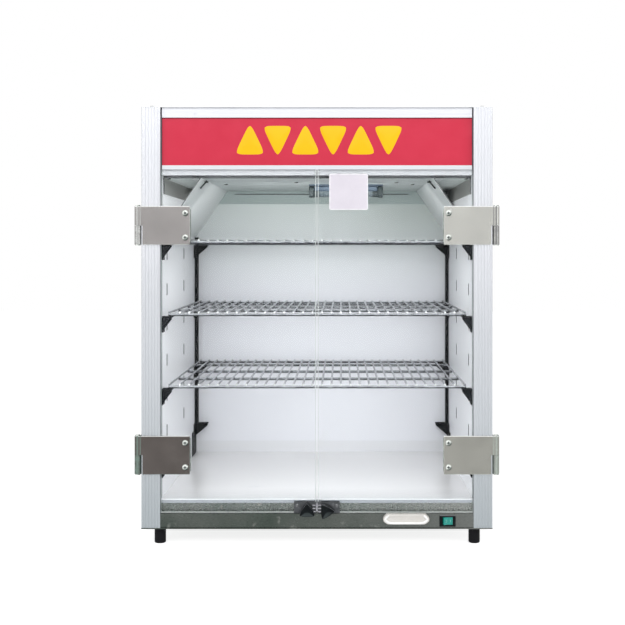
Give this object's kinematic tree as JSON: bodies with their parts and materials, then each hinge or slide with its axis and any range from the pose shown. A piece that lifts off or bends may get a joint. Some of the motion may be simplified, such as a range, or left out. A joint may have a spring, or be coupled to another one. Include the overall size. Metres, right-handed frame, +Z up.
{
  "type": "popcorn warmer cabinet",
  "caption": "Countertop heated display cabinet with glass double doors, wire shelves, a header sign, a pull-out water tray and a lit rocker switch, for keeping popcorn warm.",
  "frame": {"origin": "centre of the bounding box in plan, on the surface that the feet stand on", "axes": "+Z up, -Y towards the glass doors at the front, +X to the right seen from the front"},
  "size_m": [0.5012, 0.4452, 0.6043],
  "materials": {
    "anodised": "satin anodised",
    "sign_red": "gloss acrylic",
    "outer_skin": "brushed",
    "liner": "bright satin",
    "stainless": "brushed",
    "hinge_steel": "satin",
    "screw_steel": "zinc plated",
    "clip_metal": "dark satin",
    "door_glass": "clear",
    "shelf_chrome": "plated wire",
    "black_steel": "black powder coat",
    "foot_rubber": "matte",
    "black_plastic": "semi gloss",
    "rocker_green": "translucent",
    "white_plastic": "gloss",
    "element_steel": "heat tinted",
    "ceramic": "bare",
    "lamp_metal": "dark grey",
    "lamp_glass": "smoked"
  },
  "bodies": {
    "cabinet": {"air_deflector_left": "liner", "air_deflector_right": "liner", "back_liner": "liner", "back_panel": "outer_skin", "base_front_panel": "stainless", "base_pan": "stainless", "brackets_front": "black_steel", "brackets_rear": "black_steel", "cabinet_floor": "stainless", "casing_screws": "screw_steel", "ceiling_panel": "liner", "corner_uprights": "black_steel", "door_sill": "stainless", "element_clips": "element_steel", "header_bottom_rail": "anodised", "header_top_rail": "anodised", "heating_element": "element_steel", "hinge_leaf_lower_left": "hinge_steel", "hinge_leaf_lower_right": "hinge_steel", "hinge_leaf_upper_left": "hinge_steel", "hinge_leaf_upper_right": "hinge_steel", "hinge_pins": "hinge_steel", "lamp_holder": "lamp_metal", "lamp_tube": "lamp_glass", "magnet_catch": "black_plastic", "post_front_left": "anodised", "post_front_right": "anodised", "post_rear_left": "anodised", "post_rear_right": "anodised", "power_inlet": "black_plastic", "roof_panel": "outer_skin", "rubber_feet": "foot_rubber", "side_liner_left": "liner", "side_liner_right": "liner", "side_panel_left": "outer_skin", "side_panel_right": "outer_skin", "sign_panel": "sign_red", "switch_housing": "black_plastic", "terminal_block": "ceramic", "thermostat": "element_steel", "tray_guide": "stainless"},
    "door_left": {"door_glass_left": "door_glass", "hinge_plate_upper_left": "hinge_steel", "hinge_plate_lower_left": "hinge_steel", "hinge_clamps_left": "screw_steel", "door_clip_left": "clip_metal"},
    "door_right": {"door_glass_right": "door_glass", "hinge_plate_upper_right": "hinge_steel", "hinge_plate_lower_right": "hinge_steel", "hinge_clamps_right": "screw_steel", "door_clip_right": "clip_metal"},
    "knob_left": {"knob_left": "black_plastic"},
    "knob_right": {"knob_right": "black_plastic"},
    "rocker": {"switch_rocker": "rocker_green"},
    "tray": {"water_tray": "stainless", "tray_pull": "white_plastic"},
    "shelf_top": {"shelf_top": "shelf_chrome"},
    "shelf_middle": {"shelf_middle": "shelf_chrome"},
    "shelf_lower": {"shelf_lower": "shelf_chrome"}
  },
  "joints": [
    {"name": "door_left_hinge", "type": "hinge", "parent": "cabinet", "child": "door_left", "pos_m": [-0.246, -0.20625, 0.28], "axis": [0, 0, -1], "range_deg": [0, 180]},
    {"name": "door_right_hinge", "type": "hinge", "parent": "cabinet", "child": "door_right", "pos_m": [0.246, -0.20625, 0.28], "axis": [0, 0, 1], "range_deg": [0, 180]},
    {"name": "knob_left_turn", "type": "hinge", "parent": "door_left", "child": "knob_left", "pos_m": [-0.0131, -0.21055, 0.0491], "axis": [0, 1, 0], "continuous": true},
    {"name": "knob_right_turn", "type": "hinge", "parent": "door_right", "child": "knob_right", "pos_m": [0.0131, -0.21055, 0.0491], "axis": [0, 1, 0], "continuous": true},
    {"name": "switch_rock", "type": "hinge", "parent": "cabinet", "child": "rocker", "pos_m": [0.1792, -0.20565, 0.0336], "axis": [0, 0, -1], "range_deg": [0, 20]},
    {"name": "tray_slide", "type": "slide", "parent": "cabinet", "child": "tray", "axis": [0, -1, 0], "range_m": [0, 0.12]},
    {"name": "shelf_top_lift", "type": "slide", "parent": "cabinet", "child": "shelf_top", "axis": [0, 0, 1], "range_m": [0, 0.012]},
    {"name": "shelf_middle_lift", "type": "slide", "parent": "cabinet", "child": "shelf_middle", "axis": [0, 0, 1], "range_m": [0, 0.012]},
    {"name": "shelf_lower_lift", "type": "slide", "parent": "cabinet", "child": "shelf_lower", "axis": [0, 0, 1], "range_m": [0, 0.012]}
  ]
}
